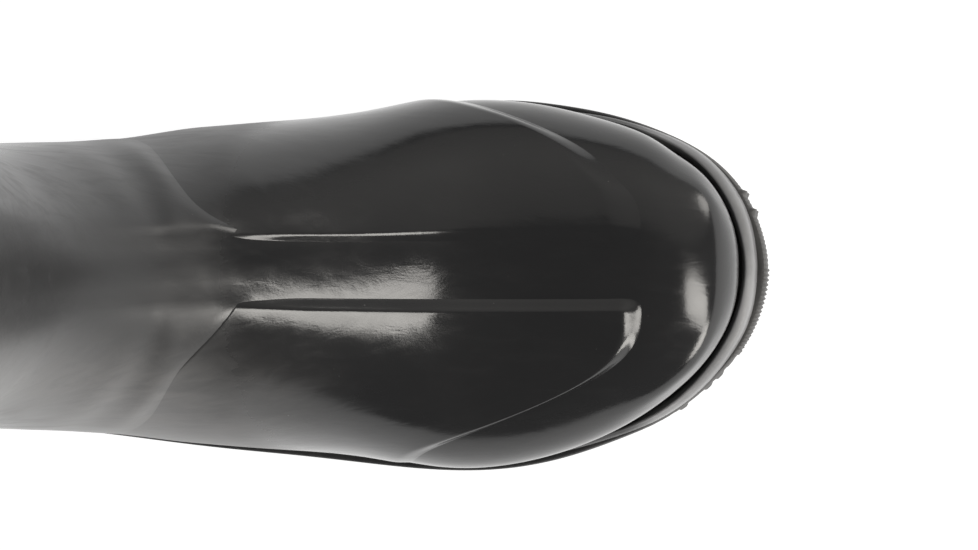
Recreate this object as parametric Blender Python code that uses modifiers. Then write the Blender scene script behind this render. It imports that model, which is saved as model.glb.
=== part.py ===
"""Rubber boot for the right foot: upper, outsole, foxing, insole and two raised vamp panels.

Metres, +Z up, toe towards +X, inner (medial) side of the foot towards +Y. Every place along the boot is
measured from the back of the heel, and the finished boot is centred over its own footprint.
"""

import math

import bmesh
import bpy
import numpy as np

# Driving dimensions
LENGTH = 0.305
SHAFT_HEIGHT = 0.382
WALL = 0.0024
JOINT_GAP = 0.0003
RAND_HEIGHT = 0.0090
RAND_FLARE = 0.0008
FOXING_HEIGHT = 0.0080
FOXING_TOP = 0.0006
FOXING_BEVEL = 0.0020
SIDE_INSET = 0.0012
TREAD_INSET = 0.0028
SOLE_BEVEL = 0.0012
LIP_DEPTH = 0.0045
LIP_EDGE = 0.0006
INSOLE_THICKNESS = 0.0030
INSOLE_CLEARANCE = 0.0005
PANEL_THICKNESS = 0.0020
CHANNEL_WIDTH = 0.0200
GROOVE_DEPTH = 0.0035
GROOVE_WIDTH = 0.0050
GROOVE_SWEEP = math.radians(14.0)
GROOVE_REACH = 0.075
FOREFOOT_GROOVES = (0.168, 0.184, 0.200, 0.216, 0.232, 0.248, 0.264, 0.280)
HEEL_GROOVES = (0.022, 0.042, 0.062)

# Feather line, where the upper's wall meets the sole, seen from above
FEATHER_COLUMNS = ("along", "lateral", "medial")
FEATHER_ROWS = (
    (0.0068, 0.0000, 0.0000),
    (0.0135, -0.0195, 0.0195),
    (0.0300, -0.0300, 0.0300),
    (0.0700, -0.0356, 0.0340),
    (0.1050, -0.0384, 0.0330),
    (0.1350, -0.0422, 0.0350),
    (0.1650, -0.0458, 0.0405),
    (0.2000, -0.0495, 0.0478),
    (0.2200, -0.0493, 0.0498),
    (0.2390, -0.0462, 0.0486),
    (0.2550, -0.0417, 0.0462),
    (0.2700, -0.0356, 0.0416),
    (0.2825, -0.0258, 0.0346),
    (0.2912, -0.0150, 0.0250),
    (0.2955, -0.0049, 0.0147),
    (0.2972, 0.0052, 0.0052),
)

# Top of the outsole, which carries the upper, and its underside, which carries the lugs
SEAT_COLUMNS = ("along", "height")
SEAT_ROWS = (
    (0.000, 0.0300),
    (0.040, 0.0300),
    (0.080, 0.0290),
    (0.120, 0.0240),
    (0.160, 0.0175),
    (0.200, 0.0138),
    (0.235, 0.0135),
    (0.270, 0.0160),
    (0.305, 0.0220),
)
FLOOR_COLUMNS = ("along", "height")
FLOOR_ROWS = (
    (0.000, 0.0000),
    (0.083, 0.0000),
    (0.087, 0.0110),
    (0.105, 0.0105),
    (0.130, 0.0060),
    (0.155, 0.0000),
    (0.245, 0.0000),
    (0.265, 0.0014),
    (0.285, 0.0045),
    (0.305, 0.0095),
)

# Faces of the foxing and lip of the outsole, measured outwards from the feather line
EDGE_COLUMNS = ("along", "inner", "outer", "lip")
EDGE_ROWS = (
    (0.0000, 0.0024, 0.0048, 0.0068),
    (0.1000, 0.0024, 0.0048, 0.0068),
    (0.2000, 0.0024, 0.0048, 0.0068),
    (0.2400, 0.0027, 0.0049, 0.0065),
    (0.2550, 0.0032, 0.0050, 0.0058),
    (0.2700, 0.0037, 0.0052, 0.0054),
    (0.2825, 0.0037, 0.0058, 0.0060),
    (0.2912, 0.0034, 0.0061, 0.0070),
    (0.2955, 0.0034, 0.0062, 0.0077),
    (0.2972, 0.0031, 0.0056, 0.0078),
)

# Sections of the upper, from the toe tip over the vamp and round the heel to the collar.
# Each one starts on the rand line (or the back of the shaft) and ends on the ridge.
SECTION_COLUMNS = (
    "ridge_along", "ridge_height", "ridge_side", "base_along", "base_height",
    "widest_lateral", "widest_medial", "forward", "rise", "crown",
)
FOOT_SECTIONS = 15
SECTION_ROWS = (
    (0.2984, 0.0308, 0.0052, 0.2972, 0.0000, -0.0050, 0.0056, 0.42, 0.42, 0.95),
    (0.3002, 0.0395, 0.0052, 0.2943, 0.0000, 0.0074, 0.0181, 0.42, 0.42, 0.98),
    (0.2973, 0.0490, 0.0051, 0.2882, 0.0000, 0.0178, 0.0270, 0.41, 0.40, 1.00),
    (0.2917, 0.0568, 0.0050, 0.2796, 0.0000, 0.0291, 0.0365, 0.40, 0.38, 1.00),
    (0.2798, 0.0622, 0.0048, 0.2690, 0.0000, 0.0381, 0.0448, 0.38, 0.37, 1.00),
    (0.2625, 0.0662, 0.0046, 0.2550, 0.0000, 0.0462, 0.0502, 0.36, 0.36, 1.00),
    (0.2400, 0.0720, 0.0045, 0.2350, 0.0000, 0.0530, 0.0549, 0.36, 0.36, 0.98),
    (0.2170, 0.0812, 0.0045, 0.2090, 0.0000, 0.0553, 0.0554, 0.36, 0.36, 0.94),
    (0.1950, 0.0970, 0.0045, 0.1800, 0.0000, 0.0512, 0.0503, 0.36, 0.36, 0.90),
    (0.1755, 0.1140, 0.0046, 0.1490, 0.0000, 0.0487, 0.0472, 0.32, 0.35, 0.88),
    (0.1600, 0.1290, 0.0045, 0.1150, 0.0000, 0.0460, 0.0448, 0.26, 0.33, 0.90),
    (0.1480, 0.1440, 0.0040, 0.0800, 0.0000, 0.0442, 0.0432, 0.18, 0.29, 0.96),
    (0.1395, 0.1600, 0.0032, 0.0460, 0.0000, 0.0432, 0.0424, 0.10, 0.24, 1.06),
    (0.1335, 0.1775, 0.0024, 0.0190, 0.0000, 0.0430, 0.0424, 0.04, 0.19, 1.16),
    (0.1305, 0.1965, 0.0016, 0.0065, 0.0000, 0.0436, 0.0432, 0.00, 0.15, 1.24),
    (0.1300, 0.2185, 0.0010, 0.0032, 0.0720, 0.0452, 0.0450, 0.00, 0.12, 1.28),
    (0.1310, 0.2470, 0.0006, 0.0058, 0.1150, 0.0478, 0.0476, 0.00, 0.09, 1.30),
    (0.1325, 0.2800, 0.0003, 0.0085, 0.1650, 0.0508, 0.0506, 0.00, 0.06, 1.30),
    (0.1335, 0.3150, 0.0001, 0.0072, 0.2300, 0.0536, 0.0535, 0.00, 0.04, 1.30),
    (0.1340, 0.3490, 0.0000, 0.0040, 0.3050, 0.0556, 0.0556, 0.00, 0.02, 1.30),
    (0.1340, SHAFT_HEIGHT, 0.0000, 0.0020, SHAFT_HEIGHT, 0.0568, 0.0568, 0.00, 0.00, 1.30),
)
TOE_LAST = 4
VAMP_LAST = 9
TOE_ROWS = 11
TOE_BUNCHING = 1.15
VAMP_ROWS = 12
HEEL_ROWS = 15
SHAFT_ROWS = 8
SIDE_STEPS = 14
RAND_STEPS = 2
SOLE_STEPS = 34
LEAST_SWELL = 0.0004

# Edges of the vamp panels, from the channel (0) down to the foxing (1)
PANEL_COLUMNS = ("down", "front_lateral", "rear_lateral", "front_medial", "rear_medial")
PANEL_ROWS = (
    (0.00, 0.2728, 0.1693, 0.2724, 0.1693),
    (0.08, 0.2726, 0.1634, 0.2716, 0.1591),
    (0.16, 0.2700, 0.1562, 0.2692, 0.1527),
    (0.24, 0.2605, 0.1490, 0.2628, 0.1470),
    (0.35, 0.2330, 0.1402, 0.2525, 0.1392),
    (0.50, 0.2102, 0.1290, 0.2300, 0.1286),
    (0.75, 0.1990, 0.1120, 0.2085, 0.1120),
    (1.00, 0.1900, 0.0970, 0.1970, 0.0970),
)
PANEL_STEPS_ALONG = 14
PANEL_STEPS_DOWN = 16
PANEL_LOWEST = 0.05

# Colour and roughness of each material
RUBBER_BLACK = (0.020, 0.020, 0.021, 1.0)
RUBBER_GLOSS = 0.33
FOXING_GREY = (0.045, 0.045, 0.046, 1.0)
FOXING_GLOSS = 0.45
SOLE_BLACK = (0.028, 0.028, 0.029, 1.0)
SOLE_GLOSS = 0.55
INSOLE_GREY = (0.090, 0.088, 0.085, 1.0)
INSOLE_GLOSS = 0.90

# Fine limits of the sums and of the mesh
TURN_STEP = 1e-4
PARAMETER_STEP = 1e-3
HALVINGS = 40
HANDLE_SAMPLES = 33
EDGE_SAMPLES = 60
LINE_SAMPLES = 240
MERGE_DISTANCE = 1e-6
SHARP_EDGE = math.radians(40)
NEAR_TURN = 0.03


def table(columns, rows):
    """A short table as one array for each named column."""
    values = np.array(rows, float).T
    return dict(zip(columns, values))


FEATHER = table(FEATHER_COLUMNS, FEATHER_ROWS)
SEAT = table(SEAT_COLUMNS, SEAT_ROWS)
FLOOR = table(FLOOR_COLUMNS, FLOOR_ROWS)
EDGE = table(EDGE_COLUMNS, EDGE_ROWS)
SECTIONS = table(SECTION_COLUMNS, SECTION_ROWS)
PANELS = table(PANEL_COLUMNS, PANEL_ROWS)
HEEL_SECTION = FOOT_SECTIONS - 1
COLLAR_SECTION = len(SECTION_ROWS) - 1
HEEL_END = FEATHER["along"][0]
TOE_END = FEATHER["along"][-1]


def smooth(knots, values, at):
    """Natural cubic spline through a table's column, read at the given places."""
    at = np.asarray(at, float)
    step = np.diff(knots)
    slope = np.diff(values) / step
    count = len(knots)
    system = np.eye(count)
    pull = np.zeros(count)
    for i in range(1, count - 1):
        system[i, i - 1 : i + 2] = step[i - 1], 2 * (step[i - 1] + step[i]), step[i]
        pull[i] = 6 * (slope[i] - slope[i - 1])
    bend = np.linalg.solve(system, pull)
    i = np.clip(np.searchsorted(knots, at) - 1, 0, count - 2)
    left = at - knots[i]
    right = knots[i + 1] - at
    curved = (bend[i] * right**3 + bend[i + 1] * left**3) / (6 * step[i])
    from_left = (values[i] / step[i] - bend[i] * step[i] / 6) * right
    from_right = (values[i + 1] / step[i] - bend[i + 1] * step[i] / 6) * left
    return curved + from_left + from_right


def turn_at(along):
    """Angle that runs from 0 at the heel to pi at the toe, so both ends of an outline come out round."""
    share = (np.asarray(along, float) - HEEL_END) / (TOE_END - HEEL_END)
    return np.arccos(np.clip(1 - 2 * share, -1, 1))


def feather_line(side, turn):
    """Point of the feather line, on the lateral (-1) or medial (+1) side, at an outline angle."""
    column = FEATHER["medial"] if side > 0 else FEATHER["lateral"]
    along = HEEL_END + (TOE_END - HEEL_END) * (1 - np.cos(turn)) / 2
    return np.stack([along, smooth(turn_at(FEATHER["along"]), column, turn)], -1)


def outline(side, turn, offset):
    """Feather line moved outwards, square to itself, by an offset that may change along the boot."""
    turn = np.asarray(turn, float)
    line = feather_line(side, turn)
    ahead = feather_line(side, np.minimum(turn + TURN_STEP, math.pi))
    behind = feather_line(side, np.maximum(turn - TURN_STEP, 0))
    run = (ahead - behind)[..., 0]
    rise = (ahead - behind)[..., 1]
    outwards = side * np.stack([-rise, run], -1)
    outwards /= np.linalg.norm(outwards, axis=-1, keepdims=True)
    reach = offset(line[..., 0]) if callable(offset) else offset
    return line + np.asarray(reach)[..., None] * outwards


def seat_height(along):
    """Height of the outsole's top face."""
    return smooth(SEAT["along"], SEAT["height"], along)


def floor_height(along):
    """Height of the outsole's underside."""
    return np.interp(along, FLOOR["along"], FLOOR["height"])


def section_value(name, station):
    """One column of the section table, read at any station."""
    return smooth(np.arange(len(SECTION_ROWS)), SECTIONS[name], station)


def rand_turn(station):
    """Outline angle of the rand line at a foot station, from pi at the toe to 0 at the heel."""
    turns = turn_at(SECTIONS["base_along"][:FOOT_SECTIONS])
    turns[0] = math.pi
    turns[-1] = 0.0
    return np.clip(smooth(np.arange(FOOT_SECTIONS), turns, station), 0, math.pi)


def rand_top(along):
    """Height of the rand line, in which the sections of the foot start."""
    return seat_height(along) + JOINT_GAP + RAND_HEIGHT


def base_point(side, station):
    """Start of a half section: on the rand line round the foot, on the back line up the shaft."""
    plan = outline(side, rand_turn(np.minimum(station, HEEL_SECTION)), RAND_FLARE)
    rand = np.stack([plan[..., 0], plan[..., 1], rand_top(plan[..., 0])], -1)
    heel = outline(1, 0.0, RAND_FLARE)[0]
    knots = np.arange(HEEL_SECTION, len(SECTION_ROWS))
    back_along = np.concatenate([[heel], SECTIONS["base_along"][FOOT_SECTIONS:]])
    back_height = np.concatenate([[rand_top(heel)], SECTIONS["base_height"][FOOT_SECTIONS:]])
    up = np.maximum(station, HEEL_SECTION)
    back = np.stack([smooth(knots, back_along, up), np.zeros_like(up), smooth(knots, back_height, up)], -1)
    return np.where((station <= HEEL_SECTION)[..., None], rand, back)


def cubic(share, first, second, third, last):
    """Cubic curve between two ends with two handles."""
    rest = 1 - share
    return rest**3 * first + 3 * rest**2 * share * second + 3 * rest * share**2 * third + share**3 * last


def side_handle(start, third, last, widest):
    """Handle that makes a half section swell to its widest half width, found by halving."""
    shares = np.linspace(0, 1, HANDLE_SAMPLES)
    low = np.zeros_like(start)
    high = np.full_like(start, LENGTH)
    for _ in range(HALVINGS):
        middle = (low + high) / 2
        curve = cubic(shares, start[..., None], middle[..., None], third[..., None], last[..., None])
        over = curve.max(-1) > widest
        high = np.where(over, middle, high)
        low = np.where(over, low, middle)
    return (low + high) / 2


def upper_surface(side, station, share):
    """Outer face of the upper: half sections swept from the toe to the collar.

    Station counts the rows of the section table. Share runs from 0 on the rand line to 1 on the ridge.
    """
    station, share = np.broadcast_arrays(np.asarray(station, float), np.asarray(share, float))
    base = base_point(side, station)
    ridge_along = section_value("ridge_along", station)
    ridge_height = section_value("ridge_height", station)
    ridge_side = section_value("ridge_side", station) * side
    forward = np.maximum(section_value("forward", station), 0)
    rise = np.maximum(section_value("rise", station), 0)
    crown = section_value("crown", station)
    widest = section_value("widest_medial" if side > 0 else "widest_lateral", station)
    start = base[..., 1] * side
    widest = np.maximum(widest, start + LEAST_SWELL * np.minimum(station, 1))
    third = ridge_side + crown * (widest - ridge_side)
    handle = side_handle(start, third, ridge_side, widest)
    along_two = base[..., 0] + forward * (ridge_along - base[..., 0])
    height_two = base[..., 2] + rise * (ridge_height - base[..., 2])
    along = cubic(share, base[..., 0], along_two, ridge_along, ridge_along)
    across = side * cubic(share, start, handle, third, ridge_side)
    height = cubic(share, base[..., 2], height_two, ridge_height, ridge_height)
    return np.stack([along, across, height], -1)


def upper_normal(side, station, share):
    """Outward direction of the upper's outer face, from small steps along both of its parameters."""
    station_low = np.maximum(station - PARAMETER_STEP, PARAMETER_STEP)
    station_high = np.minimum(station + PARAMETER_STEP, COLLAR_SECTION)
    share_low = np.maximum(share - PARAMETER_STEP, 0)
    share_high = np.minimum(share + PARAMETER_STEP, 1)
    along = upper_surface(side, station_high, share) - upper_surface(side, station_low, share)
    around = upper_surface(side, station, share_high) - upper_surface(side, station, share_low)
    normal = side * np.cross(along, around)
    return normal / np.linalg.norm(normal, axis=-1, keepdims=True)


def foot_stations():
    """Stations of the mesh's rows round the foot, closer together at the toe tip."""
    toe = TOE_LAST * np.linspace(0, 1, TOE_ROWS) ** TOE_BUNCHING
    vamp = np.linspace(TOE_LAST, VAMP_LAST, VAMP_ROWS)
    heel = np.linspace(VAMP_LAST, HEEL_SECTION, HEEL_ROWS)
    return np.concatenate([toe, vamp[1:], heel[1:]])


def ring(turns, offset, base, lift):
    """Closed loop round the sole: up the lateral side from heel to toe and back down the medial side.

    Its height is the base height at each place along the boot, plus a lift.
    """
    lateral = outline(-1, turns[::-1], offset)
    medial = outline(1, turns[1:-1], offset)
    plan = np.concatenate([lateral, medial])
    return np.column_stack([plan, base(plan[:, 0]) + lift])


def grid_faces(rows, columns, wrap=False):
    """Quads of a grid of points, stored row after row."""
    index = np.arange(rows * columns).reshape(rows, columns)
    if wrap:
        index = np.column_stack([index, index[:, 0]])
    corners = index[:-1, :-1], index[:-1, 1:], index[1:, 1:], index[1:, :-1]
    return np.stack(corners, -1).reshape(-1, 4)


def cap_faces(count, first):
    """Strips across a ring, each between the lateral and medial points of two neighbouring stations."""
    half = count // 2
    faces = [(first, first + 1, first + count - 1)]
    for i in range(1, half - 1):
        faces.append((first + i, first + i + 1, first + count - i - 1, first + count - i))
    faces.append((first + half - 1, first + half, first + half + 1))
    return faces


def new_part(name, points, faces, material, collection, closed=True):
    """Mesh object from points and faces, its corners merged. A closed one has its faces turned outwards."""
    mesh = bpy.data.meshes.new(name)
    points = np.asarray(points, float) - np.array([LENGTH / 2, 0, 0])
    mesh.from_pydata([tuple(p) for p in points], [], [tuple(int(i) for i in f) for f in faces])
    shape = bmesh.new()
    shape.from_mesh(mesh)
    bmesh.ops.remove_doubles(shape, verts=shape.verts, dist=MERGE_DISTANCE)
    if closed:
        bmesh.ops.recalc_face_normals(shape, faces=shape.faces)
    shape.to_mesh(mesh)
    shape.free()
    mesh.shade_smooth()
    mesh.set_sharp_from_angle(angle=SHARP_EDGE)
    part = bpy.data.objects.new(name, mesh)
    if material is not None:
        mesh.materials.append(material)
    collection.objects.link(part)
    return part


def rubber(name, colour, roughness):
    """Plain material of one piece."""
    material = bpy.data.materials.new(name)
    material.use_nodes = True
    shader = material.node_tree.nodes["Principled BSDF"]
    shader.inputs["Base Color"].default_value = colour
    shader.inputs["Roughness"].default_value = roughness
    shader.inputs["Metallic"].default_value = 0.0
    return material


def add_wall(part, thickness, side):
    """Wall on one side of an open surface: inwards for -1, outwards for +1."""
    wall = part.modifiers.new("wall", "SOLIDIFY")
    wall.thickness = thickness
    wall.offset = side
    wall.use_even_offset = True
    wall.use_rim = True


def build_upper(collection):
    """Foot and shaft in one wall: arched sections, with the rand below them that the foxing covers."""
    shaft = np.linspace(HEEL_SECTION, COLLAR_SECTION, SHAFT_ROWS + 1)
    stations = np.concatenate([foot_stations(), shaft[1:]])
    shares = np.linspace(0, 1, SIDE_STEPS + 1)
    lateral = upper_surface(-1, stations[:, None], shares[None, :])
    medial = upper_surface(1, stations[:, None], shares[None, ::-1])
    sections = np.concatenate([lateral, medial[:, 1:]], axis=1)
    sections[0] = sections[0, 0]
    faces = grid_faces(sections.shape[0], sections.shape[1])
    turns = rand_turn(foot_stations())
    levels = np.linspace(1, 0, RAND_STEPS + 1)
    loops = [
        ring(turns, level * RAND_FLARE, seat_height, JOINT_GAP + level * RAND_HEIGHT)
        for level in levels
    ]
    rand_faces = grid_faces(len(loops), len(loops[0]), wrap=True)[:, ::-1] + faces.max() + 1
    points = np.concatenate([sections.reshape(-1, 3), *loops])
    material = rubber("upper_rubber", RUBBER_BLACK, RUBBER_GLOSS)
    upper = new_part("upper", points, [*faces, *rand_faces], material, collection, closed=False)
    add_wall(upper, WALL, -1)
    return upper


def edge_reach(column, inset=0.0):
    """Reach of one column of the edge table, less an inset, as a function of the place along the boot."""
    return lambda along: smooth(EDGE["along"], EDGE[column], along) - inset


def build_foxing(collection):
    """Band laid round the joint: a profile carried round the feather line, leaning off the upper at its top."""
    turns = rand_turn(foot_stations())
    profile = (
        (JOINT_GAP, 2 * JOINT_GAP),
        (edge_reach("inner"), FOXING_HEIGHT),
        (edge_reach("outer", FOXING_TOP), FOXING_HEIGHT),
        (edge_reach("outer"), FOXING_HEIGHT - FOXING_BEVEL),
        (edge_reach("outer"), JOINT_GAP),
        (3 * JOINT_GAP, JOINT_GAP),
    )
    loops = [ring(turns, out, seat_height, up) for out, up in profile]
    count = len(loops[0])
    faces = grid_faces(len(loops) + 1, count, wrap=True) % (len(loops) * count)
    material = rubber("foxing_rubber", FOXING_GREY, FOXING_GLOSS)
    return new_part("foxing", np.concatenate(loops), faces, material, collection)


def build_insole(collection):
    """Footbed that lies on the outsole, clear of the upper's wall."""
    turns = rand_turn(foot_stations())
    inset = -(WALL + INSOLE_CLEARANCE)
    lifts = (JOINT_GAP, JOINT_GAP + INSOLE_THICKNESS)
    loops = [ring(turns, inset, seat_height, lift) for lift in lifts]
    count = len(loops[0])
    faces = [*grid_faces(2, count, wrap=True), *cap_faces(count, 0), *cap_faces(count, count)]
    material = rubber("insole_felt", INSOLE_GREY, INSOLE_GLOSS)
    return new_part("insole", np.concatenate(loops), faces, material, collection)


def chevron(along):
    """Plan of one groove: a band bent at the middle, its point towards the toe."""
    ends = along - math.tan(GROOVE_SWEEP) * GROOVE_REACH
    half = GROOVE_WIDTH / 2 / math.cos(GROOVE_SWEEP)
    front_edge = [(ends + half, -GROOVE_REACH), (along + half, 0), (ends + half, GROOVE_REACH)]
    rear_edge = [(ends - half, GROOVE_REACH), (along - half, 0), (ends - half, -GROOVE_REACH)]
    return front_edge + rear_edge


def groove_cutter(collection):
    """One mesh of all the tread grooves, each a chevron prism set into the underside."""
    count = len(chevron(0))
    around = np.arange(count)
    after = (around + 1) % count
    walls = np.column_stack([around, after, after + count, around + count])
    below = np.array([(0, 1, 4, 5), (1, 2, 3, 4)])
    prism = np.concatenate([below, below + count, walls])
    points = []
    faces = []
    for along in HEEL_GROOVES + FOREFOOT_GROOVES:
        faces.extend(prism + len(points))
        for height in (-GROOVE_DEPTH, floor_height(along) + GROOVE_DEPTH):
            points.extend((x, y, height) for x, y in chevron(along))
    cutter = new_part("tread_grooves", points, faces, None, collection)
    cutter.hide_render = True
    cutter.display_type = "WIRE"
    return cutter


def sole_turns():
    """Outline angles of the outsole's stations, with both edges of the heel breast among them."""
    breast = turn_at(FLOOR["along"][1:4])
    even = np.linspace(0, math.pi, SOLE_STEPS)
    near = np.abs(even[:, None] - breast[None, :]).min(1) < NEAR_TURN
    return np.sort(np.concatenate([even[~near], breast]))[::-1]


def build_outsole(collection, cutters):
    """Sole with heel block, arch and toe spring: rings from the tread up to the lip under the foxing."""
    turns = sole_turns()
    levels = (
        (edge_reach("lip", TREAD_INSET), floor_height, 0.0),
        (edge_reach("lip", SIDE_INSET), floor_height, SOLE_BEVEL),
        (edge_reach("lip", SIDE_INSET), seat_height, -LIP_DEPTH - SOLE_BEVEL),
        (edge_reach("lip"), seat_height, -LIP_DEPTH),
        (edge_reach("lip"), seat_height, -LIP_EDGE),
        (edge_reach("lip", LIP_EDGE), seat_height, 0.0),
    )
    loops = [ring(turns, offset, base, lift) for offset, base, lift in levels]
    count = len(loops[0])
    top = (len(loops) - 1) * count
    faces = [*grid_faces(len(loops), count, wrap=True), *cap_faces(count, 0), *cap_faces(count, top)]
    material = rubber("outsole_rubber", SOLE_BLACK, SOLE_GLOSS)
    sole = new_part("outsole", np.concatenate(loops), faces, material, collection)
    tread = sole.modifiers.new("tread", "BOOLEAN")
    tread.operation = "DIFFERENCE"
    tread.object = groove_cutter(cutters)
    return sole


def station_at(side, shares_at, along):
    """Station where the upper's surface lies at a place along the boot, on a line of given shares."""
    stations = np.linspace(0.5, HEEL_SECTION - 0.5, LINE_SAMPLES)
    reached = upper_surface(side, stations, shares_at(stations))[..., 0]
    return np.interp(-along, -reached, stations)


def channel_share(side, station):
    """Share of a half section at which the edge of the channel lies beside the ridge."""
    shares = np.linspace(0.5, 1, EDGE_SAMPLES)
    station = np.asarray(station, float)
    across = upper_surface(side, station[..., None], shares)[..., 1]
    beside = np.abs(across - section_value("ridge_side", station)[..., None])
    flat = beside.reshape(-1, len(shares))
    found = [np.interp(-CHANNEL_WIDTH / 2, -row, shares) for row in flat]
    return np.array(found).reshape(station.shape)


def build_panel(name, side, collection):
    """Raised panel beside the channel, taken from the upper's own surface between two edges."""
    front = PANELS["front_medial" if side > 0 else "front_lateral"]
    rear = PANELS["rear_medial" if side > 0 else "rear_lateral"]
    lines = []
    for down in np.linspace(0, 1, PANEL_STEPS_DOWN + 1):

        def shares_at(station, down=down):
            return (1 - down) * channel_share(side, station) + down * PANEL_LOWEST

        first = station_at(side, shares_at, smooth(PANELS["down"], front, down))
        last = station_at(side, shares_at, smooth(PANELS["down"], rear, down))
        stations = np.linspace(first, last, PANEL_STEPS_ALONG + 1)
        shares = shares_at(stations)
        raised = JOINT_GAP * upper_normal(side, stations, shares)
        lines.append(upper_surface(side, stations, shares) + raised)
    points = np.concatenate(lines)
    faces = grid_faces(PANEL_STEPS_DOWN + 1, PANEL_STEPS_ALONG + 1)[:, ::-side]
    material = rubber(name + "_rubber", RUBBER_BLACK, RUBBER_GLOSS)
    panel = new_part(name, points, faces, material, collection, closed=False)
    add_wall(panel, PANEL_THICKNESS, 1)
    return panel


def stand_on_floor(parts, name):
    """Hangs the parts on one empty and moves it so that the boot is centred over its own footprint."""
    bpy.context.view_layer.update()
    depsgraph = bpy.context.evaluated_depsgraph_get()
    corners = np.array([corner for part in parts for corner in part.evaluated_get(depsgraph).bound_box])
    low, high = corners.min(0), corners.max(0)
    root = bpy.data.objects.new(name, None)
    root.location = (-(low[0] + high[0]) / 2, -(low[1] + high[1]) / 2, -low[2])
    for part in parts:
        part.parent = root
    return root


def main():
    for thing in list(bpy.data.objects):
        bpy.data.objects.remove(thing, do_unlink=True)
    boot = bpy.data.collections.new("rubber_boot")
    cutters = bpy.data.collections.new("cutters")
    bpy.context.scene.collection.children.link(boot)
    bpy.context.scene.collection.children.link(cutters)
    parts = [
        build_upper(boot),
        build_foxing(boot),
        build_insole(boot),
        build_outsole(boot, cutters),
        build_panel("vamp_panel_medial", 1, boot),
        build_panel("vamp_panel_lateral", -1, boot),
    ]
    root = stand_on_floor(parts, "rubber_boot")
    boot.objects.link(root)
    for cutter in cutters.objects:
        cutter.parent = root


main()
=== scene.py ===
import math

import bmesh
import bpy
import numpy as np
from mathutils import Matrix, Quaternion, Vector


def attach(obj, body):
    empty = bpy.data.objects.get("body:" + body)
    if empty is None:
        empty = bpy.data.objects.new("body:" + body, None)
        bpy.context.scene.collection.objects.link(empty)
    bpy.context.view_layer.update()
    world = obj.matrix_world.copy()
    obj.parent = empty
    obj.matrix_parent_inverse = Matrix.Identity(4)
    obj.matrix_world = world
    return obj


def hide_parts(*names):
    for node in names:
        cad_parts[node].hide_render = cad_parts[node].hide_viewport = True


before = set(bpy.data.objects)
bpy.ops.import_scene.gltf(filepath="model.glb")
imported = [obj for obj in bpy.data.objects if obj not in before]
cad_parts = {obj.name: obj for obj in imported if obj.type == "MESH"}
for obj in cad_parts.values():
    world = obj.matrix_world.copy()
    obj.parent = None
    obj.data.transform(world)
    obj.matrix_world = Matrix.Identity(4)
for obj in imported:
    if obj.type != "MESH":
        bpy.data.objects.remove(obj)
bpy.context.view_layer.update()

bl_info = {
    "name": "Rubber boot",
    "version": (1, 0, 0),
    "blender": (4, 5, 0),
    "location": "View3D > Sidebar > Boot",
    "description": "Dresses the rubber boot: upper, lining, vamp panels, foxing, outsole, insole and stage",
    "category": "Object",
}


def table(columns, rows):
    """A short table as one array for each named column."""
    return dict(zip(columns, np.array(rows, float).T))


# Tables of the boot's last. Places along the boot are counted from the back of the heel, in metres.
LENGTH = 0.305
SHAFT_HEIGHT = 0.382
JOINT_GAP = 0.0003
RAND_HEIGHT = 0.0090
RAND_FLARE = 0.0008
FEATHER = table(("along", "lateral", "medial"), (
    (0.0068, 0.0000, 0.0000),
    (0.0135, -0.0195, 0.0195),
    (0.0300, -0.0300, 0.0300),
    (0.0700, -0.0356, 0.0340),
    (0.1050, -0.0384, 0.0330),
    (0.1350, -0.0422, 0.0350),
    (0.1650, -0.0458, 0.0405),
    (0.2000, -0.0495, 0.0478),
    (0.2200, -0.0493, 0.0498),
    (0.2390, -0.0462, 0.0486),
    (0.2550, -0.0417, 0.0462),
    (0.2700, -0.0356, 0.0416),
    (0.2825, -0.0258, 0.0346),
    (0.2912, -0.0150, 0.0250),
    (0.2955, -0.0049, 0.0147),
    (0.2972, 0.0052, 0.0052),
))
SEAT = table(("along", "height"), (
    (0.000, 0.0300),
    (0.040, 0.0300),
    (0.080, 0.0290),
    (0.120, 0.0240),
    (0.160, 0.0175),
    (0.200, 0.0138),
    (0.235, 0.0135),
    (0.270, 0.0160),
    (0.305, 0.0220),
))
FLOOR = table(("along", "height"), (
    (0.000, 0.0000),
    (0.083, 0.0000),
    (0.087, 0.0110),
    (0.105, 0.0105),
    (0.130, 0.0060),
    (0.155, 0.0000),
    (0.245, 0.0000),
    (0.265, 0.0014),
    (0.285, 0.0045),
    (0.305, 0.0095),
))
EDGE = table(("along", "inner", "outer", "lip"), (
    (0.0000, 0.0024, 0.0048, 0.0068),
    (0.1000, 0.0024, 0.0048, 0.0068),
    (0.2000, 0.0024, 0.0048, 0.0068),
    (0.2400, 0.0027, 0.0049, 0.0065),
    (0.2550, 0.0032, 0.0050, 0.0058),
    (0.2700, 0.0037, 0.0052, 0.0054),
    (0.2825, 0.0037, 0.0058, 0.0060),
    (0.2912, 0.0034, 0.0061, 0.0070),
    (0.2955, 0.0034, 0.0062, 0.0077),
    (0.2972, 0.0031, 0.0056, 0.0078),
))
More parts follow.
